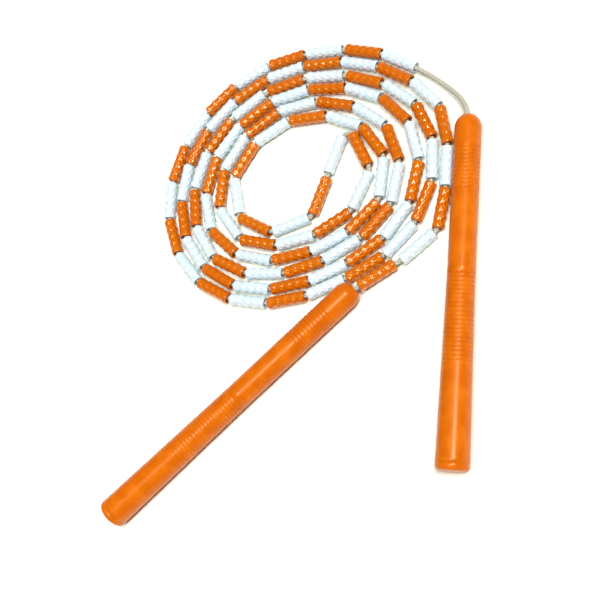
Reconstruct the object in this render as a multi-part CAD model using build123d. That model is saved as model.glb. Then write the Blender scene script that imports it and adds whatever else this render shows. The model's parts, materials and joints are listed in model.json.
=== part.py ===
"""Beaded jump rope, folded in half and coiled, with two long swivelling handles.

Millimetres, +Z up. The floor is z = 0, and the origin is on the floor under the middle of the box
that the two handles fill. The cord runs in one length from a stopper knot inside the left handle,
through every bead, to a stopper knot inside the right handle. Its fold, halfway along, is in the
middle of the coil, and both halves wind outwards from there, side by side.
"""

import math
import os

from build123d import *

os.makedirs("parts", exist_ok=True)

# ---- Cord and beads ----------------------------------------------------------------------------
CORD_DIAMETER = 3.0
BEND_SHARE = 0.45  # part of the shorter run that each arc of the cord takes up
BEAD_LENGTH = 25.0
BEAD_DIAMETER = 8.0
BEAD_END_ROUND = 1.2
BEAD_CLEARANCE = 1.2  # between the cord and the bead's hole, all round
BEADS_PER_NODE = 2

# ---- Stopper knot and washer inside each handle ------------------------------------------------
KNOT_DIAMETER = 9.0
KNOT_LENGTH = 10.0
KNOT_RIM = 1.0  # how far the knot's flat ends reach past the cord
KNOT_CLEARANCE = 0.4  # between the knot and the washer that it pulls on
KNOT_SIDE_CLEARANCE = 1.5
WASHER_THICKNESS = 1.2
WASHER_SIDE_CLEARANCE = 0.3
WASHER_HOLE_CLEARANCE = 0.3

# ---- Handles (distances along a handle start at its rope end) ----------------------------------
TUBE_LENGTH = 203.0
GRIP_DIAMETER = 16.0
BUTT_DIAMETER = 19.0
TAPER_START = 92.0
NOSE_LENGTH = 7.5
NOSE_FACE_DIAMETER = 9.5
NOSE_WALL = 12.0
MOUTH_CLEARANCE = 0.8  # between the cord and the hole in the nose, all round
MOUTH_ROUND = 0.6
MOUTH_GAP = 1.5  # from the nose to the bend where the cord turns into it

GROOVE_PITCH = 2.5
GROOVE_WIDTH = 0.9
GROOVE_DEPTH = 0.35
NOSE_BAND_START = 19.0
NOSE_BAND_GROOVES = 12
GRIP_BAND_START = 97.5
GRIP_BAND_GROOVES = 21

# ---- End cap -----------------------------------------------------------------------------------
CAP_THICKNESS = 4.5
BUTT_ROUND = 3.0
SOCKET_STEP = 1.0  # how much further out the plug's socket reaches than the handle's hollow
SOCKET_DEPTH = 14.0
PLUG_CLEARANCE = 0.05
PLUG_TIP_GAP = 3.0
PLUG_WALL = 1.6

# ---- Where the handles lie ---------------------------------------------------------------------
LEFT_TIP = (41.0, 22.2)
LEFT_HEADING = -137.5
RIGHT_TIP = (99.0 + GRIP_DIAMETER / 2, 124.0)  # its side stays clear of the outermost beads
RIGHT_HEADING = -90.4

# ---- Where the rope lies: the joints between beads, from the fold out to each handle -------------
FOLD_LEFT = (25.0, 123.8)
FOLD_RIGHT = (31.0, 124.2)

LEFT_JOINTS = [
    (16.5, 97.5), (9.0, 69.5), (-19.0, 61.5), (-44.5, 74.0), (-51.5, 102.0), (-37.5, 126.0),
    (-13.5, 139.0), (13.5, 139.0), (38.5, 128.5), (54.5, 106.5), (53.0, 78.0), (33.0, 58.5),
    (9.5, 48.0), (-16.5, 43.0), (-43.0, 48.5), (-64.5, 66.0), (-71.5, 92.5), (-65.5, 118.5),
    (-49.5, 139.5), (-27.0, 154.0), (-1.0, 159.0), (25.5, 156.5), (49.5, 146.5), (69.5, 127.5),
    (77.0, 101.0), (72.5, 74.5), (56.5, 53.0), (34.0, 39.0), (10.0, 29.0), (-16.0, 24.5),
    (-43.0, 28.0), (-66.5, 41.0), (-83.0, 62.5), (-89.5, 88.5), (-86.5, 115.0), (-74.5, 139.0),
    (-55.5, 158.0), (-32.0, 171.0), (-5.5, 176.0), (21.0, 175.5), (46.5, 168.0), (69.5, 154.5),
    (89.5, 136.0), (94.0, 109.0), (93.5, 82.0), (90.5, 55.5), (67.0, 38.0),
]

RIGHT_JOINTS = [
    (46.0, 98.5), (35.0, 72.0), (11.5, 58.5), (-15.0, 52.5), (-42.0, 59.0), (-59.5, 80.5),
    (-59.5, 108.5), (-44.5, 131.5), (-21.5, 146.5), (6.0, 149.5), (32.0, 143.0), (54.5, 127.5),
    (65.0, 101.5), (61.0, 74.0), (42.0, 54.0), (18.0, 41.5), (-7.5, 34.5), (-35.0, 35.5),
    (-60.0, 47.0), (-76.0, 69.5), (-80.5, 96.5), (-73.0, 123.0), (-56.5, 145.0), (-32.5, 161.5),
    (-3.5, 167.5), (24.5, 165.5), (51.0, 155.5), (73.0, 139.0), (85.0, 114.5), (85.5, 87.0),
    (76.5, 61.5), (57.5, 42.0), (34.0, 29.5), (9.0, 19.5), (-18.0, 15.5), (-45.0, 19.5),
    (-69.0, 31.5), (-87.5, 51.5), (-97.5, 76.5), (-98.5, 103.5), (-91.0, 129.5), (-76.0, 151.5),
    (-56.0, 169.0), (-31.5, 180.5), (-5.5, 184.5), (22.5, 184.0), (49.5, 176.5), (72.5, 162.5),
]

# Beads beside a sharp bend have one more point of the cord inside them, by bead number.
LEFT_INSIDE = {1: (21.0, 112.6), 3: (-5.0, 65.2), 5: (-48.4, 88.2), 11: (54.1, 92.0), 47: (79.0, 46.4)}
RIGHT_INSIDE = {1: (37.4, 114.0), 2: (40.8, 85.1), 6: (-51.0, 69.5)}

# The last stretch to the right handle is bare cord, so these points carry their own heights.
BARE_CORD = [(84.0, 154.5, 3.0), (94.5, 145.5, 3.5), (102.5, 136.5, 5.5)]

# ---- Worked out from the sizes above ------------------------------------------------------------
HANDLE_LENGTH = TUBE_LENGTH + CAP_THICKNESS
GRIP_RADIUS = GRIP_DIAMETER / 2
BUTT_RADIUS = BUTT_DIAMETER / 2
CORD_RADIUS = CORD_DIAMETER / 2
CORD_HEIGHT = BEAD_DIAMETER / 2
BEAD_BORE = CORD_DIAMETER + 2 * BEAD_CLEARANCE
CAVITY_DIAMETER = KNOT_DIAMETER + 2 * KNOT_SIDE_CLEARANCE
SOCKET_DIAMETER = CAVITY_DIAMETER + 2 * SOCKET_STEP
KNOT_SEAT = NOSE_WALL + WASHER_THICKNESS + KNOT_CLEARANCE


def outer_radius(along):
    """Radius of the handle's skin at a distance from its rope end, past the nose."""
    if along <= TAPER_START:
        return GRIP_RADIUS
    share = (along - TAPER_START) / (HANDLE_LENGTH - TAPER_START)
    return GRIP_RADIUS + (BUTT_RADIUS - GRIP_RADIUS) * share


# The tapered handle lies on its nose's shoulder and on its butt, so its axis climbs a little.
REST_SPAN = HANDLE_LENGTH - BUTT_ROUND - NOSE_LENGTH
CLIMB = math.asin((outer_radius(HANDLE_LENGTH - BUTT_ROUND) - GRIP_RADIUS) / REST_SPAN)
TIP_HEIGHT = GRIP_RADIUS / math.cos(CLIMB) - NOSE_LENGTH * math.sin(CLIMB)


def handle_axis(tip, heading):
    """Plane at a handle's rope end, its Z along the handle towards the butt."""
    turn = math.radians(heading)
    level = math.cos(CLIMB)
    along = (math.cos(turn) * level, math.sin(turn) * level, math.sin(CLIMB))
    return Plane(origin=(tip[0], tip[1], TIP_HEIGHT), z_dir=along)


def on_axis(axis, along):
    """Point on a handle's axis at a distance from its rope end."""
    return axis.origin + axis.z_dir * along


# ---- Handle pieces, each made with its rope end at the origin and its axis along +Z --------------
def revolved(outline):
    """Solid of revolution about Z from an outline of (radius, height) edges in the XZ plane."""
    return revolve(make_face(outline), Axis.Z)


def at(radius, height):
    """Point of an outline, given as a radius and a height."""
    return (radius, 0, height)


def groove_points(start, count):
    """Outline points of a band of ring grooves, along the skin."""
    points = []
    for index in range(count):
        middle = start + index * GROOVE_PITCH
        low = middle - GROOVE_WIDTH / 2
        high = middle + GROOVE_WIDTH / 2
        floor = outer_radius(middle) - GROOVE_DEPTH
        points.append(at(outer_radius(low), low))
        points.append(at(floor, middle - GROOVE_WIDTH / 6))
        points.append(at(floor, middle + GROOVE_WIDTH / 6))
        points.append(at(outer_radius(high), high))
    return points


def handle_tube():
    """Tapered hollow grip with a domed nose, a cord hole, two grooved bands and a cap socket."""
    hole = CORD_RADIUS + MOUTH_CLEARANCE
    face = NOSE_FACE_DIAMETER / 2
    drop = GRIP_RADIUS - face
    dome = (NOSE_LENGTH**2 + drop**2) / (2 * drop)
    half_sweep = math.asin(NOSE_LENGTH / dome) / 2
    crown = at(GRIP_RADIUS - dome + dome * math.cos(half_sweep), NOSE_LENGTH - dome * math.sin(half_sweep))
    nose = ThreePointArc(at(face, 0), crown, at(GRIP_RADIUS, NOSE_LENGTH))
    skin = [at(GRIP_RADIUS, NOSE_LENGTH)]
    skin += groove_points(NOSE_BAND_START, NOSE_BAND_GROOVES)
    skin.append(at(GRIP_RADIUS, TAPER_START))
    skin += groove_points(GRIP_BAND_START, GRIP_BAND_GROOVES)
    skin.append(at(outer_radius(TUBE_LENGTH), TUBE_LENGTH))
    inside = [
        at(outer_radius(TUBE_LENGTH), TUBE_LENGTH),
        at(SOCKET_DIAMETER / 2, TUBE_LENGTH),
        at(SOCKET_DIAMETER / 2, TUBE_LENGTH - SOCKET_DEPTH),
        at(CAVITY_DIAMETER / 2, TUBE_LENGTH - SOCKET_DEPTH),
        at(CAVITY_DIAMETER / 2, NOSE_WALL),
        at(hole, NOSE_WALL),
        at(hole, 0),
        at(face, 0),
    ]
    tube = revolved([nose, Polyline(*skin), Polyline(*inside)])
    mouth = tube.edges().filter_by(GeomType.CIRCLE).group_by(Axis.Z)[0].sort_by(SortBy.RADIUS)[0]
    return fillet(mouth, min(MOUTH_ROUND, (face - hole) / 2))


def end_cap():
    """Plug with a rounded head that closes the butt."""
    head = outer_radius(TUBE_LENGTH)
    plug = SOCKET_DIAMETER / 2 - PLUG_CLEARANCE
    top = HANDLE_LENGTH
    plug_end = TUBE_LENGTH - SOCKET_DEPTH + PLUG_TIP_GAP
    rounding = min(BUTT_ROUND, CAP_THICKNESS * 0.7)
    outline = Polyline(
        at(0, top), at(BUTT_RADIUS, top), at(head, TUBE_LENGTH), at(plug, TUBE_LENGTH),
        at(plug, plug_end), at(plug - PLUG_WALL, plug_end), at(plug - PLUG_WALL, TUBE_LENGTH),
        at(0, TUBE_LENGTH), at(0, top),
    )
    cap = revolved(outline)
    rim = cap.edges().filter_by(GeomType.CIRCLE).group_by(Axis.Z)[-1].sort_by(SortBy.RADIUS)[-1]
    return fillet(rim, rounding)


def washer():
    """Flat ring that spreads the knot's pull over the wall behind the nose."""
    disc = Cylinder(CAVITY_DIAMETER / 2 - WASHER_SIDE_CLEARANCE, WASHER_THICKNESS)
    hole = Cylinder(CORD_RADIUS + WASHER_HOLE_CLEARANCE, WASHER_THICKNESS)
    return Pos(0, 0, NOSE_WALL + WASHER_THICKNESS / 2) * (disc - hole)


def stopper_knot():
    """Rounded stopper knot, flat only where the cord enters it."""
    face = CORD_RADIUS + KNOT_RIM
    radius = KNOT_DIAMETER / 2
    low = KNOT_SEAT
    high = KNOT_SEAT + KNOT_LENGTH
    side = ThreePointArc(at(face, low), at(radius, (low + high) / 2), at(face, high))
    ends = Polyline(at(face, high), at(0, high), at(0, low), at(face, low))
    return revolved([side, ends])


# ---- Cord -----------------------------------------------------------------------------------------
def run_and_turn(before, point, after):
    """Shorter of the two runs at a point, and the angle that the route turns there in radians."""
    run = min((point - before).length, (after - point).length)
    return run, math.radians((point - before).get_angle(after - point))


def bend_radii(points):
    """Largest arc that the shorter run at each inner point allows."""
    radii = []
    for before, point, after in zip(points, points[1:], points[2:]):
        run, turn = run_and_turn(before, point, after)
        radii.append(BEND_SHARE * run / math.tan(turn / 2))
    return radii


def bend_middles(points):
    """Where the cord's own line passes each point of its route, inside the corner."""
    middles = [points[0]]
    for before, point, after in zip(points, points[1:], points[2:]):
        run, turn = run_and_turn(before, point, after)
        inward = (before - point).normalized() + (after - point).normalized()
        depth = BEND_SHARE * run * math.tan(turn / 4)
        middles.append(point + inward.normalized() * depth)
    middles.append(points[-1])
    return middles


def cord_tube(points):
    """Round cord of straight runs joined by tangent arcs."""
    line = FilletPolyline(*points, radius=bend_radii(points))
    start = Plane(origin=line @ 0, z_dir=line % 0)
    return sweep(start * Circle(CORD_RADIUS), path=line), line.length


# ---- Beads ----------------------------------------------------------------------------------------
def bead():
    """One bead, its hole along Z and its middle at the origin."""
    wall = (BEAD_DIAMETER - BEAD_BORE) / 2
    body = Cylinder(BEAD_DIAMETER / 2, BEAD_LENGTH)
    body = fillet(body.edges().filter_by(GeomType.CIRCLE), min(BEAD_END_ROUND, 0.95 * wall))
    return body - Cylinder(BEAD_BORE / 2, BEAD_LENGTH)


def strand(start, joints, inside):
    """Points of one half's cord from the fold outwards, and which of them are joints."""
    points = []
    joint_places = []
    for number, (x, y) in enumerate([start] + joints, start=1):
        joint_places.append(len(points))
        points.append(Vector(x, y, CORD_HEIGHT))
        if number in inside:
            points.append(Vector(*inside[number], CORD_HEIGHT))
    return points, joint_places


def bead_places(points, joint_places):
    """Planes midway between neighbouring joints, each centred on the cord's line there."""
    middles = bend_middles(points)
    centred = [(points[index] + middles[index]) / 2 for index in joint_places]
    return [
        Plane(origin=(start + end) / 2, z_dir=end - start)
        for start, end in zip(centred, centred[1:])
    ]


def save(node, solids):
    """Write one node's solids to its STEP file."""
    shape = solids[0] if len(solids) == 1 else Compound(children=list(solids))
    export_step(shape, f"parts/{node}.step")


def save_beads(side, places, first_colour, second_colour):
    """Write one half's beads in same-coloured groups, numbered outwards from the fold."""
    pattern = bead()
    for offset, colour in enumerate((first_colour, second_colour)):
        same = list(enumerate(places, start=1))[offset::2]
        for start in range(0, len(same), BEADS_PER_NODE):
            group = same[start:start + BEADS_PER_NODE]
            node = f"{side}_{colour}_beads_{group[0][0]:02d}_{group[-1][0]:02d}"
            save(node, [place * pattern for _, place in group])


# ---- The whole rope -------------------------------------------------------------------------------
left_axis = handle_axis(LEFT_TIP, LEFT_HEADING)
right_axis = handle_axis(RIGHT_TIP, RIGHT_HEADING)
left_mouth = on_axis(left_axis, -MOUTH_GAP)
right_mouth = on_axis(right_axis, -MOUTH_GAP)

left_points, left_joints_at = strand(FOLD_LEFT, LEFT_JOINTS, LEFT_INSIDE)
left_joints_at.append(len(left_points))
left_points.append(left_mouth)
right_points, right_joints_at = strand(FOLD_RIGHT, RIGHT_JOINTS, RIGHT_INSIDE)

route = [on_axis(left_axis, KNOT_SEAT)] + left_points[::-1] + right_points
route += [Vector(*point) for point in BARE_CORD] + [right_mouth, on_axis(right_axis, KNOT_SEAT)]

left_places = bead_places(left_points, left_joints_at)
right_places = bead_places(right_points, right_joints_at)

cord, cord_length = cord_tube(route)
save("cord", [cord])
save_beads("left", left_places, "white", "orange")
save_beads("right", right_places, "orange", "white")

for name, axis in (("left", left_axis), ("right", right_axis)):
    save(f"{name}_handle_tube", [axis * handle_tube()])
    save(f"{name}_end_cap", [axis * end_cap()])
    save(f"{name}_washer", [axis * washer()])
    save(f"{name}_stopper_knot", [axis * stopper_knot()])

print("bend radii:", ", ".join(f"{radius:.0f}" for radius in bend_radii(route)))
print(f"cord length {cord_length:.1f} mm, volume {cord.volume:.0f} mm3,",
      f"section times length {math.pi * CORD_RADIUS**2 * cord_length:.0f} mm3")
for name, axis in (("left", left_axis), ("right", right_axis)):
    print(name, "handle: tip", tuple(axis.origin), "axis", tuple(axis.z_dir),
          "butt", tuple(on_axis(axis, HANDLE_LENGTH)))
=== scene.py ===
"""Looks of a beaded jump rope: a braided cord, knobbly beads, two grooved handles and a studio.

Metres, +Z up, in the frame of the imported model. The cord runs from the left handle through the fold
in the middle of the coil to the right handle. Beads are threaded along the cord's own line, and the
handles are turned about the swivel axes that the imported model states.
"""

from __future__ import annotations

import json
import logging
import math
from dataclasses import dataclass, field
from enum import Enum

import bmesh
import bpy
from mathutils import Matrix, Quaternion, Vector

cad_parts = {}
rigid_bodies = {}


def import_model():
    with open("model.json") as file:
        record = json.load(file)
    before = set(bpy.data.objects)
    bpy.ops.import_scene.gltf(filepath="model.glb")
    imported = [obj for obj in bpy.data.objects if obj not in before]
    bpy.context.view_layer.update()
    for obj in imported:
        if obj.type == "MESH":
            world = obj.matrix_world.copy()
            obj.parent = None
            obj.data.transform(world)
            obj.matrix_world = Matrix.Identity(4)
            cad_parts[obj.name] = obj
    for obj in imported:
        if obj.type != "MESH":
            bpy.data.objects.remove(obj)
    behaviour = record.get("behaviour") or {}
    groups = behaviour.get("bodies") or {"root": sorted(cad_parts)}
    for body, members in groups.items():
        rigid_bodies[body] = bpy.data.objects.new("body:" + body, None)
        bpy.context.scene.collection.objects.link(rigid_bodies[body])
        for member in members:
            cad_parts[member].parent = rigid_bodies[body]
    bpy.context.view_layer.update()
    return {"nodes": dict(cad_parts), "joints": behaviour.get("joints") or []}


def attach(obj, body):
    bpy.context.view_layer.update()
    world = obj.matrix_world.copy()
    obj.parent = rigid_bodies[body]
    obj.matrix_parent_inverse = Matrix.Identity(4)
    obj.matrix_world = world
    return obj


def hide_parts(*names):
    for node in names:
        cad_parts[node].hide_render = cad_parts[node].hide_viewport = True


LOG = logging.getLogger("jump_rope")

TURN = 2 * math.pi
MIDDLE = 0.5

Colour = tuple[float, float, float]
Point = tuple[float, ...]
Node = bpy.types.Node
Socket = bpy.types.NodeSocket
Material = bpy.types.Material
Mesh = bpy.types.Mesh
Piece = bpy.types.Object

# ---- Where the rope lies: the joints between beads, from the fold out to each handle ----
CORD_DIAMETER = 0.003
CORD_HEIGHT = 0.004
MOUTH_GAP = 0.0015
KNOT_SEAT = 0.0136

FOLD_LEFT = (0.025, 0.1238)
FOLD_RIGHT = (0.031, 0.1242)

LEFT_JOINTS = [
    (0.0165, 0.0975), (0.009, 0.0695), (-0.019, 0.0615), (-0.0445, 0.074), (-0.0515, 0.102),
    (-0.0375, 0.126), (-0.0135, 0.139), (0.0135, 0.139), (0.0385, 0.1285), (0.0545, 0.1065),
    (0.053, 0.078), (0.033, 0.0585), (0.0095, 0.048), (-0.0165, 0.043), (-0.043, 0.0485),
    (-0.0645, 0.066), (-0.0715, 0.0925), (-0.0655, 0.1185), (-0.0495, 0.1395), (-0.027, 0.154),
    (-0.001, 0.159), (0.0255, 0.1565), (0.0495, 0.1465), (0.0695, 0.1275), (0.077, 0.101),
    (0.0725, 0.0745), (0.0565, 0.053), (0.034, 0.039), (0.01, 0.029), (-0.016, 0.0245),
    (-0.043, 0.028), (-0.0665, 0.041), (-0.083, 0.0625), (-0.0895, 0.0885), (-0.0865, 0.115),
    (-0.0745, 0.139), (-0.0555, 0.158), (-0.032, 0.171), (-0.0055, 0.176), (0.021, 0.1755),
    (0.0465, 0.168), (0.0695, 0.1545), (0.089, 0.1355), (0.094, 0.109), (0.0935, 0.082),
    (0.0905, 0.0555), (0.067, 0.038),
]

RIGHT_JOINTS = [
    (0.046, 0.0985), (0.035, 0.072), (0.0115, 0.0585), (-0.015, 0.0525), (-0.042, 0.059),
    (-0.0595, 0.0805), (-0.0595, 0.1085), (-0.0445, 0.1315), (-0.0215, 0.1465), (0.006, 0.1495),
    (0.032, 0.143), (0.0545, 0.1275), (0.065, 0.1015), (0.061, 0.074), (0.042, 0.054),
    (0.018, 0.0415), (-0.0075, 0.0345), (-0.035, 0.0355), (-0.06, 0.047), (-0.076, 0.0695),
    (-0.0805, 0.0965), (-0.073, 0.123), (-0.0565, 0.145), (-0.0325, 0.1615), (-0.0035, 0.1675),
    (0.0245, 0.1655), (0.051, 0.1555), (0.073, 0.139), (0.085, 0.1145), (0.0855, 0.087),
    (0.0765, 0.0615), (0.0575, 0.042), (0.034, 0.0295), (0.009, 0.0195), (-0.018, 0.0155),
    (-0.045, 0.0195), (-0.069, 0.0315), (-0.0875, 0.0515), (-0.0975, 0.0765), (-0.0985, 0.1035),
    (-0.091, 0.1295), (-0.076, 0.1515), (-0.056, 0.169), (-0.0315, 0.1805), (-0.0055, 0.1845),
    (0.0225, 0.184), (0.0495, 0.1765), (0.0725, 0.1625),
]

# Beads beside a sharp bend have one more point of the cord inside them, by bead number.
LEFT_INSIDE = {
    1: (0.021, 0.1126), 3: (-0.005, 0.0652), 5: (-0.0484, 0.0882), 11: (0.0541, 0.092),
    47: (0.079, 0.0464),
}
RIGHT_INSIDE = {1: (0.0374, 0.114), 2: (0.0408, 0.0851), 6: (-0.051, 0.0695)}

# The last stretch to the right handle is bare cord, so these points carry their own heights.
BARE_CORD = [(0.084, 0.1545, 0.003), (0.0945, 0.1455, 0.0035), (0.1025, 0.1365, 0.0055)]


def put(name: str, data: bpy.types.ID) -> Piece:
    """Adds an object to the scene.

    Args:
        name: What it is called.
        data: Its mesh, curve, lamp or camera.

    Returns:
        The new object, at the origin.
    """
    piece = bpy.data.objects.new(name, data)
    bpy.context.scene.collection.objects.link(piece)
    return piece


# ---- Node building ----
class Signal:
    """A number that a node tree works out, with the operators that node maths is written in."""

    def __init__(self, bench: Bench, socket: Socket) -> None:
        """Wraps one output socket of the tree that the bench works on."""
        self.bench = bench
        self.socket = socket

    def __add__(self, other: Number) -> Signal:
        """This number plus another."""
        return self.bench.maths("ADD", self, other)

    __radd__ = __add__

    def __sub__(self, other: Number) -> Signal:
        """This number less another."""
        return self.bench.maths("SUBTRACT", self, other)

    def __rsub__(self, other: Number) -> Signal:
        """Another number less this one."""
        return self.bench.maths("SUBTRACT", other, self)

    def __mul__(self, other: Number) -> Signal:
        """This number times another."""
        return self.bench.maths("MULTIPLY", self, other)

    __rmul__ = __mul__

    def __truediv__(self, other: Number) -> Signal:
        """This number over another."""
        return self.bench.maths("DIVIDE", self, other)

    def __pow__(self, other: Number) -> Signal:
        """This number to a power."""
        return self.bench.maths("POWER", self, other)

    def __gt__(self, other: Number) -> Signal:
        """1 where this number is the larger, else 0."""
        return self.bench.maths("GREATER_THAN", self, other)

    def __lt__(self, other: Number) -> Signal:
        """1 where this number is the smaller, else 0."""
        return self.bench.maths("LESS_THAN", self, other)

    def named(self, operation: str, *others: Number) -> Signal:
        """Another of the Math node's operations, such as COSINE or FRACT, on this number."""
        return self.bench.maths(operation, self, *others)


Number = Signal | float
Feed = Signal | Socket | float | tuple | Material


class Bench:
    """Adds nodes to one tree and joins them up."""

    def __init__(self, tree: bpy.types.NodeTree) -> None:
        """Works on the given tree."""
        self.tree = tree

    def feed(self, socket: Socket, value: Feed) -> None:
        """Links a socket to a value that a node makes, or sets it to a plain value.

        Args:
            socket: An input of one of the tree's nodes.
            value: What goes into it. A colour socket takes three parts or more.
        """
        if isinstance(value, Signal):
            self.tree.links.new(socket, value.socket)
        elif isinstance(value, Socket):
            self.tree.links.new(socket, value)
        elif socket.type == "RGBA":
            socket.default_value = (*value[:3], 1.0)
        else:
            socket.default_value = value

    def add(
        self,
        kind: str,
        values: dict[str | int, Feed] | None = None,
        stops: list[tuple[float, Colour]] | None = None,
        **settings: object,
    ) -> Node:
        """Adds one node.

        Args:
            kind: The node's type.
            values: What goes into its sockets, by name or number.
            stops: A colour ramp's places and colours.
            settings: The node's own settings, which are set before its sockets.

        Returns:
            The new node.
        """
        node = self.tree.nodes.new(kind)
        for name, value in settings.items():
            setattr(node, name, value)
        for number, (place, colour) in enumerate(stops or []):
            elements = node.color_ramp.elements
            element = elements[number] if number < 2 else elements.new(place)
            element.position = place
            element.color = (*colour, 1.0)
        for key, value in (values or {}).items():
            self.feed(node.inputs[key], value)
        return node

    def maths(self, operation: str, *values: Number) -> Signal:
        """Adds a Math node on one, two or three numbers."""
        node = self.add("ShaderNodeMath", dict(enumerate(values)), operation=operation)
        return Signal(self, node.outputs[0])

    def signal(self, node: Node, output: str | int = 0) -> Signal:
        """One output of a node, as a number for expressions."""
        return Signal(self, node.outputs[output])

    def split(self, vector: Socket) -> tuple[Signal, Signal, Signal]:
        """The three parts of a vector."""
        node = self.add("ShaderNodeSeparateXYZ", {0: vector})
        return tuple(Signal(self, output) for output in node.outputs)

    def joined(self, x: Number, y: Number, z: Number) -> Socket:
        """A vector made of three numbers."""
        return self.add("ShaderNodeCombineXYZ", {0: x, 1: y, 2: z}).outputs[0]

    def eased(self, value: Number, low: float, high: float) -> Signal:
        """A smooth step.

        Args:
            value: The number to judge.
            low: Where the step starts.
            high: Where it is complete.

        Returns:
            0 below low and 1 above high.
        """
        node = self.add(
            "ShaderNodeMapRange",
            {"Value": value, "From Min": low, "From Max": high},
            interpolation_type="SMOOTHSTEP",
        )
        return self.signal(node)

    def blend(self, share: Number, a: Feed, b: Feed) -> Socket:
        """A colour between a and b, which is b where share is 1."""
        node = self.add("ShaderNodeMix", {0: share, 6: a, 7: b}, data_type="RGBA")
        return node.outputs[2]


class TreeInputs:
    """A new geometry tree with named inputs, and the values that a piece gives them."""

    def __init__(self, name: str) -> None:
        """Starts the tree with a geometry input and output.

        Args:
            name: The tree's name.
        """
        self.tree = bpy.data.node_groups.new(name, "GeometryNodeTree")
        for way in ("INPUT", "OUTPUT"):
            self.tree.interface.new_socket("Geometry", in_out=way, socket_type="NodeSocketGeometry")
        self.bench = Bench(self.tree)
        self.inside = self.tree.nodes.new("NodeGroupInput")
        self.identifiers: dict[str, str] = {}

    def number(self, name: str) -> Signal:
        """Adds a named number to the tree's inputs."""
        self._socket(name, "NodeSocketFloat")
        return Signal(self.bench, self.inside.outputs[name])

    def count(self, name: str) -> Signal:
        """Adds a named whole number to the tree's inputs."""
        self._socket(name, "NodeSocketInt")
        return Signal(self.bench, self.inside.outputs[name])

    def material(self) -> Socket:
        """Adds the finish to the tree's inputs."""
        self._socket("Finish", "NodeSocketMaterial")
        return self.inside.outputs["Finish"]

    def geometry(self) -> Socket:
        """What the modifier is given."""
        return self.inside.outputs["Geometry"]

    def finish(self, geometry: Socket, finish: Socket) -> None:
        """Ends the tree: instances become mesh, shaded smooth, in the finish.

        Args:
            geometry: What the tree has made.
            finish: The tree's material input.
        """
        add = self.bench.add
        real = add("GeometryNodeRealizeInstances", {"Geometry": geometry}).outputs[0]
        smooth = add("GeometryNodeSetShadeSmooth", {"Geometry": real}).outputs[0]
        dressed = add("GeometryNodeSetMaterial", {"Geometry": smooth, "Material": finish})
        add("NodeGroupOutput", {0: dressed.outputs[0]})

    def applied(self, mesh: Mesh, values: dict[str, Feed]) -> Mesh:
        """Runs the tree on a mesh.

        Args:
            mesh: What the tree starts from.
            values: What each named input is set to.

        Returns:
            The result as a plain mesh. The object that carried the modifier is gone.
        """
        carrier = put("carrier", mesh)
        modifier = carrier.modifiers.new("shape", "NODES")
        modifier.node_group = self.tree
        for name, value in values.items():
            modifier[self.identifiers[name]] = value
        depsgraph = bpy.context.evaluated_depsgraph_get()
        shaped = carrier.evaluated_get(depsgraph)
        result = bpy.data.meshes.new_from_object(shaped, depsgraph=depsgraph)
        carrier.modifiers.clear()
        bpy.data.objects.remove(carrier)
        return result

    def _socket(self, name: str, kind: str) -> None:
        """Adds one input and keeps its identifier, by which a modifier sets it."""
        item = self.tree.interface.new_socket(name, in_out="INPUT", socket_type=kind)
        self.identifiers[name] = item.identifier


# ---- Finishes ----
def new_material(name: str) -> tuple[Material, Bench, Node]:
    """An empty node material.

    Args:
        name: The material's name.

    Returns:
        The material, a bench for its tree, and its surface shader.
    """
    material = bpy.data.materials.new(name)
    material.use_nodes = True
    material.node_tree.nodes.clear()
    bench = Bench(material.node_tree)
    shader = bench.add("ShaderNodeBsdfPrincipled")
    bench.add("ShaderNodeOutputMaterial", {"Surface": shader.outputs[0]})
    return material, bench, shader


def noise(bench: Bench, size: float, detail: float) -> Signal:
    """Smooth random mottling on the piece's own coordinates.

    Args:
        bench: The tree to add to.
        size: Width of a blotch in metres.
        detail: How many finer layers it has.

    Returns:
        A number around MIDDLE.
    """
    place = bench.add("ShaderNodeTexCoord").outputs["Object"]
    node = bench.add("ShaderNodeTexNoise", {"Vector": place, "Scale": 1 / size, "Detail": detail})
    return bench.signal(node)


def attribute(bench: Bench, name: str) -> Signal:
    """A number that the piece carries on its surface."""
    return bench.signal(bench.add("ShaderNodeAttribute", attribute_name=name), "Fac")


def bump(bench: Bench, height: Signal, depth: float, strength: float) -> Socket:
    """A surface normal from a height between 0 and 1, depth metres deep."""
    node = bench.add("ShaderNodeBump", {"Height": height, "Distance": depth, "Strength": strength})
    return node.outputs[0]


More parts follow.
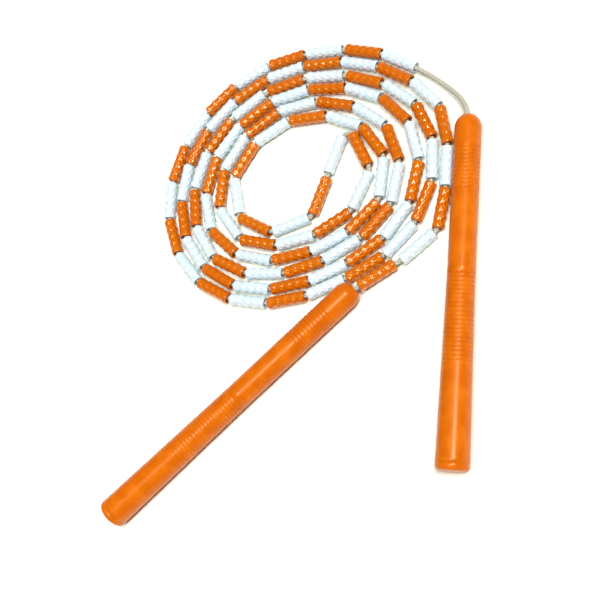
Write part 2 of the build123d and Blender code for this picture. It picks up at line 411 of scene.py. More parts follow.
@dataclass(frozen=True)
class HandlePlastic:
    """Satin-gloss orange plastic of the handles, with painted shade that darkens the ring grooves."""

    name: str = "orange_handle_plastic"
    colour: Colour = (0.56, 0.108, 0.0)
    pale: Colour = (0.68, 0.155, 0.002)
    # deep: painted shade for the ring grooves, and also the colour of the real dark speckles
    deep: Colour = (0.44, 0.075, 0.0)
    roughness: float = 0.36
    mottle_size: float = 0.009
    speckle_size: float = 0.0022
    grain_size: float = 0.0012
    grain_depth: float = 0.0001
    shine: Colour = (1.0, 0.55, 0.16)
    shine_index: float = 1.45
    gloss: float = 0.16
    gloss_roughness: float = 0.24
    glow: float = 0.04
    glow_radius: Colour = (1.0, 0.35, 0.05)
    glow_depth: float = 0.002

    def make(self) -> Material:
        """Builds the material.

        Returns:
            The new material.
        """
        material, bench, shader = new_material(self.name)
        mottle = bench.eased(noise(bench, self.mottle_size, 4.0), 0.35, 0.7)
        grain = noise(bench, self.grain_size, 3.0)
        speckle = bench.eased(noise(bench, self.speckle_size, 4.0), 0.56, 0.72)
        groove = attribute(bench, "groove")
        body = bench.blend(mottle * 0.7, self.colour, self.pale)
        # Painted shade: where the groove attribute is high, the ring grooves are darkened toward the
        # deep colour
        body = bench.blend(groove * 0.2, body, self.deep)
        body = bench.blend(speckle * 0.3, body, self.deep)
        bench.feed(shader.inputs["Base Color"], body)
        rough = self.roughness + (grain - MIDDLE) * 0.2 + (mottle - MIDDLE) * 0.08
        bench.feed(shader.inputs["Roughness"], rough + speckle * 0.1)
        height = grain * 0.6 + speckle * 0.4
        bench.feed(shader.inputs["Normal"], bump(bench, height, self.grain_depth, 0.5))
        shader.inputs["IOR"].default_value = self.shine_index
        gloss_and_glow(shader, self)
        return material


@dataclass(frozen=True)
class BeadPlastic:
    """Glossy moulded plastic of the beads, each bead a little different from the next, with painted
    shade in the hollows between ribs and nubs and in the bore.
    """

    name: str
    colour: Colour
    other: Colour
    # hollow: painted shade, blended in where the surface lies low between ribs and nubs and down the
    # bore
    hollow: Colour
    roughness: float
    glow: float
    glow_radius: Colour
    shine: Colour = (1.0, 1.0, 1.0)
    gloss: float = 0.5
    gloss_roughness: float = 0.12
    glow_depth: float = 0.002
    mottle_size: float = 0.0035
    grain_size: float = 0.0006
    grain_depth: float = 0.00005

    def make(self) -> Material:
        """Builds the material.

        Returns:
            The new material.
        """
        material, bench, shader = new_material(self.name)
        tint = attribute(bench, "bead_tint")
        crest = attribute(bench, "crest")
        mottle = noise(bench, self.mottle_size, 3.0)
        grain = noise(bench, self.grain_size, 2.0)
        body = bench.blend(tint * 0.7 + (mottle - MIDDLE) * 0.5, self.colour, self.other)
        # Painted shade: the colour darkens toward the hollow colour where the crest attribute is low
        body = bench.blend((1 - crest) * 0.45, body, self.hollow)
        bench.feed(shader.inputs["Base Color"], body)
        rough = self.roughness + (mottle - MIDDLE) * 0.12 + (1 - crest) * 0.08
        bench.feed(shader.inputs["Roughness"], rough + (tint - MIDDLE) * 0.04)
        bench.feed(shader.inputs["Normal"], bump(bench, grain, self.grain_depth, 0.3))
        gloss_and_glow(shader, self)
        return material


def gloss_and_glow(shader: Node, plastic: HandlePlastic | BeadPlastic) -> None:
    """Sets how a moulded plastic shines and lets light in, the same all over.

    Args:
        shader: The plastic's surface shader.
        plastic: Its finish.
    """
    shader.inputs["Specular Tint"].default_value = (*plastic.shine, 1.0)
    shader.inputs["Coat Weight"].default_value = plastic.gloss
    shader.inputs["Coat Roughness"].default_value = plastic.gloss_roughness
    shader.inputs["Subsurface Weight"].default_value = plastic.glow
    shader.inputs["Subsurface Radius"].default_value = plastic.glow_radius
    shader.inputs["Subsurface Scale"].default_value = plastic.glow_depth


@dataclass(frozen=True)
class BraidedNylon:
    """Cream braided cord: two sets of strands that wind round it opposite ways."""

    name: str = "cream_braid"
    thread: Colour = (0.58, 0.55, 0.45)
    shadow: Colour = (0.25, 0.22, 0.15)
    length: float = 2.68
    lay: float = 0.0065
    strands: int = 4
    depth: float = 0.0004
    fuzz_size: float = 0.0004
    roughness: float = 0.75
    sheen: float = 0.2

    def make(self) -> Material:
        """Builds the material. U runs along the cord and V round it.

        Returns:
            The new material.
        """
        material, bench, shader = new_material(self.name)
        along, around, _ = bench.split(bench.add("ShaderNodeTexCoord").outputs["UV"])
        wound = along * (TURN * self.length / self.lay * self.strands / 2)
        turn = around * (TURN * self.strands)
        one = (wound + turn).named("SINE") * 0.5 + 0.5
        other = (wound - turn).named("SINE") * 0.5 + 0.5
        plait = one.named("MAXIMUM", other)
        fuzz = noise(bench, self.fuzz_size, 3.0)
        body = bench.blend(plait ** 1.5 * 0.8 + fuzz * 0.2, self.shadow, self.thread)
        bench.feed(shader.inputs["Base Color"], body)
        bench.feed(shader.inputs["Roughness"], self.roughness + (fuzz - MIDDLE) * 0.3)
        height = plait * 0.85 + fuzz * 0.15
        bench.feed(shader.inputs["Normal"], bump(bench, height, self.depth, 0.8))
        shader.inputs["Sheen Weight"].default_value = self.sheen
        return material


@dataclass(frozen=True)
class PlainNylon:
    """Natural nylon of the small pieces inside the handles."""

    name: str
    colour: Colour
    other: Colour
    roughness: float
    mottle_size: float = 0.0012
    grain_depth: float = 0.0001

    def make(self) -> Material:
        """Builds the material.

        Returns:
            The new material.
        """
        material, bench, shader = new_material(self.name)
        mottle = noise(bench, self.mottle_size, 4.0)
        bench.feed(shader.inputs["Base Color"], bench.blend(mottle, self.colour, self.other))
        bench.feed(shader.inputs["Roughness"], self.roughness + (mottle - MIDDLE) * 0.2)
        bench.feed(shader.inputs["Normal"], bump(bench, mottle, self.grain_depth, 0.4))
        return material


@dataclass(frozen=True)
class PaleFloor:
    """Matt white paper sweep."""

    name: str = "pale_floor"
    colour: Colour = (0.91, 0.91, 0.78)
    other: Colour = (0.9, 0.9, 0.77)
    mottle_size: float = 0.05
    roughness: float = 0.95
    shine: float = 0.1

    def make(self) -> Material:
        """Builds the material.

        Returns:
            The new material.
        """
        material, bench, shader = new_material(self.name)
        mottle = noise(bench, self.mottle_size, 2.0)
        bench.feed(shader.inputs["Base Color"], bench.blend(mottle, self.colour, self.other))
        shader.inputs["Roughness"].default_value = self.roughness
        shader.inputs["Specular IOR Level"].default_value = self.shine
        return material


class BeadColour(Enum):
    """The two colours of bead, which take turns along the cord."""

    ORANGE = "orange"
    WHITE = "white"


class Side(Enum):
    """The two halves of the rope and their handles."""

    LEFT = "left"
    RIGHT = "right"


SEED_STEPS = {Side.LEFT: 3, Side.RIGHT: 5}

# The third colour of each finish is painted shade for the hollows between ribs and nubs and in the
# bore
BEAD_FINISHES = {
    BeadColour.ORANGE: BeadPlastic(
        "orange_bead_plastic", (0.6, 0.13, 0.0), (0.64, 0.155, 0.001), (0.4, 0.065, 0.0),
        roughness=0.2, glow=0.05, glow_radius=(1.0, 0.35, 0.05), shine=(1.0, 0.5, 0.05),
        gloss=0.8,
    ),
    BeadColour.WHITE: BeadPlastic(
        "white_bead_plastic", (0.63, 0.75, 0.81), (0.68, 0.78, 0.83), (0.57, 0.67, 0.72),
        roughness=0.22, glow=0.3, glow_radius=(0.8, 1.0, 1.0),
    ),
}

WASHER_NYLON = PlainNylon("washer_nylon", (0.72, 0.72, 0.68), (0.62, 0.62, 0.58), 0.45)
KNOT_NYLON = PlainNylon("knot_nylon", (0.8, 0.74, 0.6), (0.5, 0.44, 0.32), 0.8)


# ---- Cord ----
@dataclass
class Strand:
    """One half of the cord's route, from the fold outwards."""

    start: Point
    joints: list[Point]
    inside: dict[int, Point]
    points: list[Point] = field(default_factory=list)
    joints_at: list[int] = field(default_factory=list)

    def __post_init__(self) -> None:
        """Puts the points inside beads among the joints, and notes where the joints are."""
        for number, joint in enumerate([self.start] + self.joints, start=1):
            self.joints_at.append(len(self.points))
            self.points.append((*joint, CORD_HEIGHT))
            if number in self.inside:
                self.points.append((*self.inside[number], CORD_HEIGHT))


@dataclass
class Swivel:
    """A handle's own axis: its rope end and the direction from there to its butt."""

    tip: Vector
    axis: Vector

    @classmethod
    def of(cls, joints: list[dict], side: Side) -> Swivel:
        """Reads the axis of one side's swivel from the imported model's joints."""
        joint = next(j for j in joints if j["child"] == f"{side.value}_handle")
        return cls(Vector(joint["pos_m"]), Vector(joint["axis"]).normalized())

    def along(self, distance: float) -> Vector:
        """Point on the axis at a distance from the rope end."""
        return self.tip + self.axis * distance

    def placed(self) -> Matrix:
        """Takes a piece made along +Z from the origin to its place on the axis."""
        turn = Vector((0, 0, 1)).rotation_difference(self.axis)
        return Matrix.Translation(self.tip) @ turn.to_matrix().to_4x4()


@dataclass
class Cord:
    """The cord, in one length from knot to knot, and the beads' places along it."""

    left: Swivel
    right: Swivel
    diameter: float = CORD_DIAMETER
    length: float = 2.68
    resolution: int = 10
    roundness: int = 5

    def __post_init__(self) -> None:
        """Strings the two strands and the bare end together into one route."""
        self.left_strand = Strand(FOLD_LEFT, LEFT_JOINTS, LEFT_INSIDE)
        self.left_strand.joints_at.append(len(self.left_strand.points))
        self.left_strand.points.append(tuple(self.left.along(-MOUTH_GAP)))
        self.right_strand = Strand(FOLD_RIGHT, RIGHT_JOINTS, RIGHT_INSIDE)
        self.route = [tuple(self.left.along(KNOT_SEAT))]
        self.route += self.left_strand.points[::-1] + self.right_strand.points + BARE_CORD
        self.route += [tuple(self.right.along(-MOUTH_GAP)), tuple(self.right.along(KNOT_SEAT))]

    def build(self, finish: Material) -> Piece:
        """Makes the cord's curve and reads its line back.

        Args:
            finish: The cord's material.

        Returns:
            The curve object.
        """
        curve = bpy.data.curves.new("cord_braid", "CURVE")
        curve.dimensions = "3D"
        curve.resolution_u = self.resolution
        spline = curve.splines.new("NURBS")
        spline.points.add(len(self.route) - 1)
        for point, place in zip(spline.points, self.route):
            point.co = (*place, 1.0)
        spline.order_u = 3
        spline.use_endpoint_u = True
        spline.resolution_u = self.resolution
        bare = bpy.data.objects.new("bare_line", curve)
        mesh = bpy.data.meshes.new_from_object(bare)
        self.line = [vertex.co.copy() for vertex in mesh.vertices]
        bpy.data.meshes.remove(mesh)
        bpy.data.objects.remove(bare)
        curve.bevel_depth = self.diameter / 2
        curve.bevel_resolution = self.roundness
        curve.use_fill_caps = True
        curve.materials.append(finish)
        return put("cord_braid", curve)

    def at(self, station: float) -> Vector:
        """The cord's middle beside one of the route's points.

        Args:
            station: The point's number from the first, or a number between two of them.

        Returns:
            The nearest place on the cord's own line.
        """
        spans = len(self.route) - 2
        place = min(max((station - 0.5) / spans, 0.0), 1.0) * (len(self.line) - 1)
        before = min(int(place), len(self.line) - 2)
        return self.line[before].lerp(self.line[before + 1], place - before)

    def bead_places(self, side: Side) -> list[tuple[Vector, Vector]]:
        """Where one side's beads sit, from the fold outwards.

        A bead is straight and the cord bends inside it, so the bead's middle is halfway between the
        cord's own line and the chord from joint to joint.

        Args:
            side: Which half of the rope.

        Returns:
            Each bead's middle and its direction along the cord.
        """
        strand = self.left_strand if side is Side.LEFT else self.right_strand
        if side is Side.LEFT:
            stations = [len(strand.points) - index for index in strand.joints_at]
        else:
            stations = [1 + len(self.left_strand.points) + index for index in strand.joints_at]
        places = []
        for start, end in zip(stations, stations[1:]):
            first, last = self.at(start), self.at(end)
            middle = (self.at((start + end) / 2) + (first + last) / 2) / 2
            places.append((middle, (last - first).normalized()))
        return places


# ---- Beads ----
@dataclass
class BeadMould:
    """The knobbly tube bead and the geometry tree that threads it onto places along the cord."""

    length: float = 0.025
    radius: float = 0.004
    bore: float = 0.0027
    end_round: float = 0.0008
    mouth_round: float = 0.00015
    rib_pitch: float = 0.0052
    rib_depth: float = 0.00032
    nubs: int = 8
    nub_depth: float = 0.00045
    rings: int = 64
    sides: int = 48
    rounding_steps: int = 6
    rim_from: float = 0.42
    rim_share: float = 0.6
    seam_gap: float = 1e-6
    seed: int = 7

    def tree(self) -> TreeInputs:
        """Builds the tree: one bead, pressed out of a grid, on every point of its input.

        Returns:
            The tree and its inputs.
        """
        inputs = TreeInputs("knobbly_beads")
        bench = inputs.bench
        bead = self._bead(inputs)
        heading = bench.add(
            "GeometryNodeInputNamedAttribute", {"Name": "heading"}, data_type="FLOAT_VECTOR"
        ).outputs[0]
        aligned = bench.add("FunctionNodeAlignRotationToVector", {"Vector": heading}, axis="Z")
        seed = inputs.count("Seed")
        spin = bench.add("FunctionNodeRandomValue", {"Seed": seed}, data_type="FLOAT")
        turn = bench.joined(0.0, 0.0, bench.signal(spin, 1) * TURN)
        euler = bench.add("FunctionNodeEulerToRotation", {0: turn}).outputs[0]
        turned = bench.add(
            "FunctionNodeRotateRotation",
            {"Rotation": aligned.outputs[0], "Rotate By": euler},
            rotation_space="LOCAL",
        )
        threaded = bench.add(
            "GeometryNodeInstanceOnPoints",
            {"Points": inputs.geometry(), "Instance": bead, "Rotation": turned.outputs[0]},
        )
        tint = bench.add("FunctionNodeRandomValue", {"Seed": seed + 1.0}, data_type="FLOAT")
        tinted = bench.add(
            "GeometryNodeStoreNamedAttribute",
            {"Geometry": threaded.outputs[0], "Name": "bead_tint", "Value": bench.signal(tint, 1)},
            data_type="FLOAT",
            domain="INSTANCE",
        )
        inputs.finish(tinted.outputs[0], inputs.material())
        return inputs

    def _bead(self, inputs: TreeInputs) -> Socket:
        """The bead along +Z: a closed outline carried round the axis, with ribs and nubs.

        Args:
            inputs: The tree, which gets the bead's sizes as inputs.

        Returns:
            The bead's mesh.
        """
        bench = inputs.bench
        length, radius, bore = (inputs.number(name) for name in ("Length", "Radius", "Bore"))
        end_round, mouth_round = (inputs.number(name) for name in ("End round", "Mouth round"))
        rib_pitch, rib_depth = (inputs.number(name) for name in ("Rib pitch", "Rib depth"))
        nubs, nub_depth = (inputs.number(name) for name in ("Nubs", "Nub depth"))
        low, high = length * -0.5, length * 0.5
        corners = ((bore, low), (radius, low), (radius, high), (bore, high))
        outline = bench.add(
            "GeometryNodeCurvePrimitiveQuadrilateral",
            {f"Point {n}": bench.joined(*place, 0.0) for n, place in enumerate(corners, start=1)},
            mode="POINTS",
        )
        corner, _, _ = bench.split(bench.add("GeometryNodeInputPosition").outputs[0])
        outer = corner > (bore + radius) / 2
        rounding = outer * end_round + (1 - outer) * mouth_round
        rounded = bench.add(
            "GeometryNodeFilletCurve",
            {
                "Curve": outline.outputs[0], "Count": self.rounding_steps,
                "Radius": rounding, "Limit Radius": True,
            },
            mode="POLY",
        )
        sheet = bench.add(
            "GeometryNodeMeshGrid",
            {
                "Size X": 1.0, "Size Y": 1.0,
                "Vertices X": self.rings + 1, "Vertices Y": self.sides + 1,
            },
        )
        across, round_about, _ = bench.split(bench.add("GeometryNodeInputPosition").outputs[0])
        rings = float(self.rings)
        ring = ((across + 0.5) * rings).named("ROUND").named("MODULO", rings)
        skin_share = self._skin_share()
        sample = bench.add(
            "GeometryNodeSampleCurve",
            {"Curves": rounded.outputs[0], "Factor": ring * (skin_share / (self.rings - 1))},
            mode="FACTOR",
            use_all_curves=True,
        )
        out, height, _ = bench.split(sample.outputs["Position"])
        angle = (round_about + 0.5) * TURN
        wave = (height * TURN / rib_pitch).named("COSINE")
        crest = wave * 0.5 + 0.5
        nub = wave * (angle * nubs).named("COSINE") * 0.5 + 0.5
        reach = (out - bore) / (radius - bore)
        rim = bench.eased(height.named("ABSOLUTE") / length, self.rim_from, 0.5)
        relief = (1 - crest) * rib_depth + (1 - nub) * nub_depth
        out_now = out - reach * (1 - rim * self.rim_share) * relief
        place = bench.joined(out_now * angle.named("COSINE"), out_now * angle.named("SINE"), height)
        # The crest attribute: how high the surface stands, from 0 in the bore to 1 on the nubs; the
        # bead finish paints shade where it is low
        kept = bench.add(
            "GeometryNodeStoreNamedAttribute",
            {
                "Geometry": sheet.outputs[0], "Name": "crest",
                "Value": (crest + nub) * 0.5 * reach,
            },
            data_type="FLOAT",
        ).outputs[0]
        pressed = bench.add("GeometryNodeSetPosition", {"Geometry": kept, "Position": place})
        seamed = bench.add(
            "GeometryNodeMergeByDistance",
            {"Geometry": pressed.outputs[0], "Distance": self.seam_gap},
        )
        return seamed.outputs[0]

    def _skin_share(self) -> float:
        """How much of the outline is not the straight wall of the hole.

        Returns:
            Its share of the outline's length.
        """
        wall = self.radius - self.bore
        corners = (self.end_round + self.mouth_round) * 2
        arcs = math.pi * (self.end_round + self.mouth_round)
        straight = 2 * self.length + 2 * wall - 2 * corners
        hole = self.length - 2 * self.mouth_round
        return 1 - hole / (straight + arcs)

    def values(self, finish: Material) -> dict[str, Feed]:
        """What the tree's named inputs are set to for this bead.

        Args:
            finish: The beads' material.

        Returns:
            The value of each input.
        """
        return {
            "Length": self.length, "Radius": self.radius, "Bore": self.bore,
            "End round": self.end_round, "Mouth round": self.mouth_round,
            "Rib pitch": self.rib_pitch, "Rib depth": self.rib_depth,
            "Nubs": float(self.nubs), "Nub depth": self.nub_depth,
            "Seed": self.seed, "Finish": finish,
        }


@dataclass
class BeadString:
    """The beads on one half of the rope, as pieces of eight beads of one colour."""

    side: Side
    first: BeadColour
    places: list[tuple[Vector, Vector]]
    beads_per_node: int = 2
    nodes_per_piece: int = 4

    def build(
        self, mould: BeadMould, tree: TreeInputs, finishes: dict[BeadColour, Material]
    ) -> list[Piece]:
        """Makes the pieces.

        Args:
            mould: The bead's sizes.
            tree: The mould's geometry tree.
            finishes: The material of each colour.

        Returns:
            The pieces, riding on the rope and standing for its bead nodes.
        """
        second = BeadColour.WHITE if self.first is BeadColour.ORANGE else BeadColour.ORANGE
        pieces = []
        for offset, colour in enumerate((self.first, second)):
            numbered = list(enumerate(self.places, start=1))[offset::2]
            size = self.beads_per_node * self.nodes_per_piece
            for start in range(0, len(numbered), size):
                group = numbered[start:start + size]
                pieces.append(self._piece(colour, group, mould, tree, finishes[colour]))
        return pieces

    def _piece(
        self,
        colour: BeadColour,
        group: list[tuple[int, tuple[Vector, Vector]]],
        mould: BeadMould,
        tree: TreeInputs,
        finish: Material,
    ) -> Piece:
        """Makes one piece.

        Args:
            colour: The colour of its beads.
            group: Each bead's number from the fold and its place.
            mould: The bead's sizes.
            tree: The mould's geometry tree.
            finish: The beads' material.

        Returns:
            The piece, riding on the rope and standing for its nodes.
        """
        stem = f"{self.side.value}_{colour.value}_beads"
        points = bpy.data.meshes.new("places")
        points.from_pydata([tuple(middle) for _, (middle, _) in group], [], [])
        heading = points.attributes.new("heading", "FLOAT_VECTOR", "POINT")
        heading.data.foreach_set("vector", [part for _, (_, way) in group for part in way])
        values = mould.values(finish)
        numbers = [number for number, _ in group]
        values["Seed"] = mould.seed + numbers[0] * SEED_STEPS[self.side]
        mesh = tree.applied(points, values)
        name = f"{stem}_{numbers[0]:02d}_to_{numbers[-1]:02d}"
        mesh.name = name
        piece = put(name, mesh)
        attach(piece, "rope")
        for start in range(0, len(numbers), self.beads_per_node):
            pair = numbers[start:start + self.beads_per_node]
            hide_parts(f"{stem}_{pair[0]:02d}_{pair[-1]:02d}")
        LOG.info("%s: %d beads, %d faces", name, len(group), len(mesh.polygons))
        return piece


# ---- Handles ----
SEAM_GAP = 1e-7
LIP_STEPS, DOME_STEPS, RIM_STEPS = 5, 16, 14


def turned_mesh(name: str, outline: list[tuple[float, float]], segments: int) -> Mesh:
    """Carries a closed outline of (radius, height) points round the Z axis.

    Args:
        name: The mesh's name.
        outline: The outline's points, in order. Points on the axis close the shape.
        segments: How many steps go round.

    Returns:
        The mesh, with its faces pointing outwards.
    """
    shape = bmesh.new()
    ring = [shape.verts.new((radius, 0.0, height)) for radius, height in outline]
    edges = [shape.edges.new(pair) for pair in zip(ring, ring[1:] + ring[:1])]
    bmesh.ops.spin(
        shape, geom=ring + edges, axis=(0, 0, 1), cent=(0, 0, 0), angle=TURN, steps=segments
    )
    bmesh.ops.remove_doubles(shape, verts=shape.verts, dist=SEAM_GAP)
    bmesh.ops.dissolve_degenerate(shape, edges=shape.edges, dist=SEAM_GAP)
    bmesh.ops.recalc_face_normals(shape, faces=shape.faces)
    mesh = bpy.data.meshes.new(name)
    shape.to_mesh(mesh)
    shape.free()
    return mesh


@dataclass(frozen=True)
class GrooveBand:
    """A band of ring grooves, with the distance of its first groove from the rope end."""

    start: float
    grooves: int
    pitch: float = 0.0025
    width: float = 0.0009
    depth: float = 0.00032

    def end(self) -> float:
        """Distance of the band's last groove from the rope end."""
        return self.start + (self.grooves - 1) * self.pitch


@dataclass
class Handle:
    """One handle: a tapered tube with a domed nose and two grooved bands, and its end cap."""

    side: Side
    swivel: Swivel
    length: float = 0.2075
    cap_length: float = 0.0045
    grip_radius: float = 0.008
    butt_radius: float = 0.0095
    taper_start: float = 0.092
    nose_length: float = 0.0075
    nose_face: float = 0.00475
    hole_radius: float = 0.0023
    hole_depth: float = 0.012
    lip_round: float = 0.0006
    cavity_radius: float = 0.006
    socket_radius: float = 0.007
    socket_depth: float = 0.014
    butt_round: float = 0.003
    seam_round: float = 0.00012
    plug_clearance: float = 0.00005
    plug_length: float = 0.011
    plug_wall: float = 0.0016
    groove_floor: float = 0.97
    step: float = 0.003
    step_in_band: float = 0.00025
    segments: int = 96
    bands: tuple[GrooveBand, ...] = (GrooveBand(0.019, 12), GrooveBand(0.0975, 21))

    def skin(self, along: float) -> float:
        """Radius of the grip at a distance from its rope end, past the nose."""
        share = max(0.0, (along - self.taper_start) / (self.length - self.taper_start))
        return self.grip_radius + (self.butt_radius - self.grip_radius) * share

    def build(self, tree: TreeInputs, finish: Material) -> list[Piece]:
        """Makes the tube and the cap.

        Args:
            tree: The geometry tree that cuts a band of grooves.
            finish: The handle's material.

        Returns:
            The pieces, riding on the handle's body.
        """
        tube = turned_mesh("tube", self._tube_outline(), self.segments)
        for band in self.bands:
            tube = tree.applied(tube, {
                "Start": band.start, "Grooves": float(band.grooves), "Pitch": band.pitch,
                "Width": band.width, "Depth": band.depth,
                "Skin from": self.grip_radius * self.groove_floor, "Finish": finish,
            })
        cap = turned_mesh("cap", self._cap_outline(), self.segments)
        cap.shade_smooth()
        cap.materials.append(finish)
        return [self._piece("grip", tube, "handle_tube"), self._piece("butt_cap", cap, "end_cap")]

    def _piece(self, word: str, mesh: Mesh, node: str) -> Piece:
        """Puts a mesh on the handle's axis as a piece.

        Args:
            word: What the piece is called after the handle.
            mesh: Its mesh, made along +Z from the origin.
            node: The CAD node that it stands for, without the side.

        Returns:
            The piece, riding on the handle's body.
        """
        name = f"{self.side.value}_handle_{word}"
        mesh.name = name
        mesh.transform(self.swivel.placed())
        piece = put(name, mesh)
        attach(piece, f"{self.side.value}_handle")
        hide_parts(f"{self.side.value}_{node}")
        LOG.info("%s: %d faces", name, len(mesh.polygons))
        return piece

    def _tube_outline(self) -> list[tuple[float, float]]:
        """The tube's wall: mouth, dome, grip, socket, hollow and cord hole.

        Returns:
            The closed outline, as (radius, height) points.
        """
        lip_middle = (self.hole_radius + self.lip_round, self.lip_round)
        lip = arc(lip_middle, self.lip_round, 180, 270, LIP_STEPS)
        drop = self.grip_radius - self.nose_face
        dome_radius = (self.nose_length**2 + drop**2) / (2 * drop)
        sweep = math.degrees(math.asin(self.nose_length / dome_radius))
        dome_middle = (self.grip_radius - dome_radius, self.nose_length)
        dome = arc(dome_middle, dome_radius, -sweep, 0, DOME_STEPS)
        end = self.length - self.cap_length
        grip = [(self.skin(along), along) for along in self._stations(end - self.seam_round)]
        seam = [(self.skin(end) - self.seam_round, end)]
        inside = [
            (self.socket_radius, end), (self.socket_radius, end - self.socket_depth),
            (self.cavity_radius, end - self.socket_depth), (self.cavity_radius, self.hole_depth),
            (self.hole_radius, self.hole_depth),
        ]
        return lip + dome + grip + seam + inside

    def _stations(self, end: float) -> list[float]:
        """Where the grip's outline has points, which are closer together in the bands.

        Args:
            end: Distance of the last point from the rope end.

        Returns:
            The points' distances from the rope end.
        """
        along = self.nose_length + self.step
        stations = []
        while along < end:
            stations.append(along)
            near = any(b.start - b.pitch < along < b.end() + b.pitch for b in self.bands)
            along += self.step_in_band if near else self.step
        return stations + [end]

    def _cap_outline(self) -> list[tuple[float, float]]:
        """The cap: a rounded head on a hollow plug.

        Returns:
            The outline from the axis round to the axis, as (radius, height) points.
        """
        top, seat = self.length, self.length - self.cap_length
        plug = self.socket_radius - self.plug_clearance
        plug_end = seat - self.plug_length
        plug_inside = plug - self.plug_wall
        head = self.skin(seat)
        face_radius = self.butt_radius - self.butt_round
        rim = arc((face_radius, top - self.butt_round), self.butt_round, 90, 0, RIM_STEPS)
        crown = [(0.0, top), (face_radius * 0.5, top)]
        foot = [(head, seat + self.seam_round * 2), (head - self.seam_round, seat), (plug, seat)]
        shank = [(plug, plug_end), (plug_inside, plug_end), (plug_inside, seat), (0.0, seat)]
        return crown + rim + foot + shank


def arc(
    centre: tuple[float, float], radius: float, start: float, end: float, steps: int
) -> list[tuple[float, float]]:
    """Points of a circular arc in an outline, from one angle to another in degrees."""
    angles = [math.radians(start + (end - start) * step / steps) for step in range(steps + 1)]
    return [(centre[0] + radius * math.cos(a), centre[1] + radius * math.sin(a)) for a in angles]


def groove_tree() -> TreeInputs:
    """Builds the geometry tree that presses one band of ring grooves into a turned tube.

    Returns:
        The tree and its inputs.
    """
    inputs = TreeInputs("ring_grooves")
    bench = inputs.bench
    start, grooves = inputs.number("Start"), inputs.number("Grooves")
    pitch, width, depth = (inputs.number(name) for name in ("Pitch", "Width", "Depth"))
    skin_from = inputs.number("Skin from")
    x, y, along = bench.split(bench.add("GeometryNodeInputPosition").outputs[0])
    out = (x * x + y * y) ** 0.5
    count = (along - start) / pitch
    in_band = (count > -0.5) * (count < grooves - 0.5)
    from_middle = (count - count.named("ROUND")).named("ABSOLUTE") * pitch
    share = 1 - from_middle / (width * 0.5)
    bowl = bench.eased(share, 0.0, 0.8) * in_band * (out > skin_from)
    shrink = bowl * depth * -1.0 / out
    # The groove attribute adds up each band's grooves; the handle finish paints shade where it is
    # high
    old = bench.add("GeometryNodeInputNamedAttribute", {"Name": "groove"}, data_type="FLOAT")
    kept = bench.add(
        "GeometryNodeStoreNamedAttribute",
        {"Geometry": inputs.geometry(), "Name": "groove", "Value": bench.signal(old) + bowl},
        data_type="FLOAT",
    ).outputs[0]
    pressed = bench.add(
        "GeometryNodeSetPosition",
        {"Geometry": kept, "Offset": bench.joined(x * shrink, y * shrink, 0.0)},
    )
    inputs.finish(pressed.outputs[0], inputs.material())
    return inputs


# ---- Studio ----
@dataclass(frozen=True)
class SoftLight:
    """A soft light that faces the rope: a square panel, or a far one that lights the whole floor.

    A panel has a size, and a strength in watts. A far light has a spread in degrees instead, and
    its place only says which way it shines.
    """

    name: str
    place: Point
    strength: float
    size: float = 0.0
    spread: float = 0.0

    def build(self, target: Vector) -> None:
        """Hangs the light.

        Args:
            target: The point that it faces.
        """
        if self.spread:
            lamp = bpy.data.lights.new(self.name, "SUN")
            lamp.angle = math.radians(self.spread)
        else:
            lamp = bpy.data.lights.new(self.name, "AREA")
            lamp.shape = "SQUARE"
            lamp.size = self.size
        lamp.energy = self.strength
        holder = put(self.name, lamp)
        holder.location = self.place
        holder.rotation_mode = "QUATERNION"
        holder.rotation_quaternion = (target - Vector(self.place)).to_track_quat("-Z", "Y")


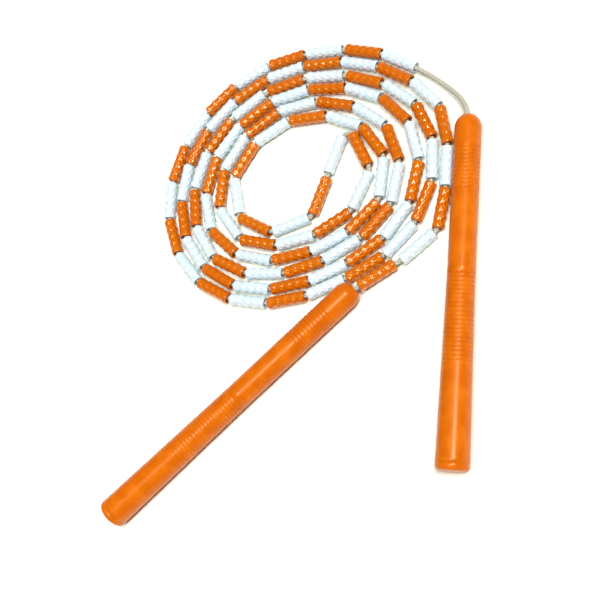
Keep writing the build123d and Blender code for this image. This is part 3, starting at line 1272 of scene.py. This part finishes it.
@dataclass
class Studio:
    """Pale floor, soft lights and the camera."""

    aim: Point = (0.0043, 0.0174, 0.004)
    distance: float = 0.6095
    azimuth: float = 59.74
    elevation: float = 60.48
    roll: float = -58.59
    lens: float = 60.0
    sensor: float = 36.0
    nearest: float = 0.01
    lights_aim: Point = (0.0, 0.05, 0.0)
    floor_half: float = 30.0
    sky: float = 0.12
    lights: tuple[SoftLight, ...] = (
        SoftLight("key", (0.42, 0.14, 1.12), 2.75, spread=18.0),
        SoftLight("side", (0.06, -0.22, 1.07), 1.5, spread=14.0),
        SoftLight("softbox", (0.05, 0.05, 1.3), 2.5, size=1.0),
    )

    def build(self) -> None:
        """Sets everything up."""
        self._camera()
        self._floor()
        for light in self.lights:
            light.build(Vector(self.lights_aim))
        world = bpy.data.worlds.new("studio")
        world.use_nodes = True
        background = world.node_tree.nodes["Background"]
        background.inputs["Color"].default_value = (1.0, 1.0, 1.0, 1.0)
        background.inputs["Strength"].default_value = self.sky
        bpy.context.scene.world = world
        bpy.context.scene.view_settings.view_transform = "Standard"

    def _camera(self) -> None:
        """Places the camera on its sphere round the aim point, rolled about its own axis."""
        turn, lift = math.radians(self.azimuth), math.radians(self.elevation)
        level = math.cos(lift)
        back = Vector((math.sin(turn) * level, -math.cos(turn) * level, math.sin(lift)))
        lens = bpy.data.cameras.new("camera")
        lens.lens = self.lens
        lens.sensor_width = self.sensor
        lens.clip_start = self.nearest
        camera = put("camera", lens)
        camera.location = Vector(self.aim) + back * self.distance
        camera.rotation_mode = "QUATERNION"
        upright = (-back).to_track_quat("-Z", "Y")
        camera.rotation_quaternion = Quaternion(back, math.radians(self.roll)) @ upright
        bpy.context.scene.camera = camera

    def _floor(self) -> None:
        """Lays the floor under the rope."""
        half = self.floor_half
        corners = [(-half, -half, 0), (half, -half, 0), (half, half, 0), (-half, half, 0)]
        mesh = bpy.data.meshes.new("floor")
        mesh.from_pydata(corners, [], [(0, 1, 2, 3)])
        mesh.materials.append(PaleFloor().make())
        floor = put("floor", mesh)


# ---- The whole rope ----
def clear_scene() -> None:
    """Removes whatever a new scene starts with."""
    for thing in list(bpy.data.objects):
        bpy.data.objects.remove(thing)


def dress_inner_pieces(nodes: dict[str, Piece]) -> None:
    """Gives the washers and the knots, which stay as they were packed, their finishes.

    Args:
        nodes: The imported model's nodes.
    """
    washer = WASHER_NYLON.make()
    knot = KNOT_NYLON.make()
    for side in Side:
        for word, finish in (("washer", washer), ("stopper_knot", knot)):
            node = nodes[f"{side.value}_{word}"]
            for slot in node.material_slots:
                slot.material = finish
            LOG.info("%s dressed", node.name)


def main() -> None:
    """Builds the rope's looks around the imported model."""
    logging.basicConfig(level=logging.INFO, format="%(message)s")
    clear_scene()
    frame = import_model()
    Studio().build()

    swivels = {side: Swivel.of(frame["joints"], side) for side in Side}
    cord = Cord(swivels[Side.LEFT], swivels[Side.RIGHT])
    braid = BraidedNylon().make()
    line = cord.build(braid)
    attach(line, "rope")
    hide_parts("cord")

    mould = BeadMould()
    bead_tree = mould.tree()
    finishes = {colour: finish.make() for colour, finish in BEAD_FINISHES.items()}
    beads = []
    for side, first in ((Side.LEFT, BeadColour.WHITE), (Side.RIGHT, BeadColour.ORANGE)):
        string = BeadString(side, first, cord.bead_places(side))
        beads += string.build(mould, bead_tree, finishes)

    plastic = HandlePlastic().make()
    grooves = groove_tree()
    for side, swivel in swivels.items():
        Handle(side, swivel).build(grooves, plastic)
    dress_inner_pieces(frame["nodes"])


if __name__ == "__main__":
    main()
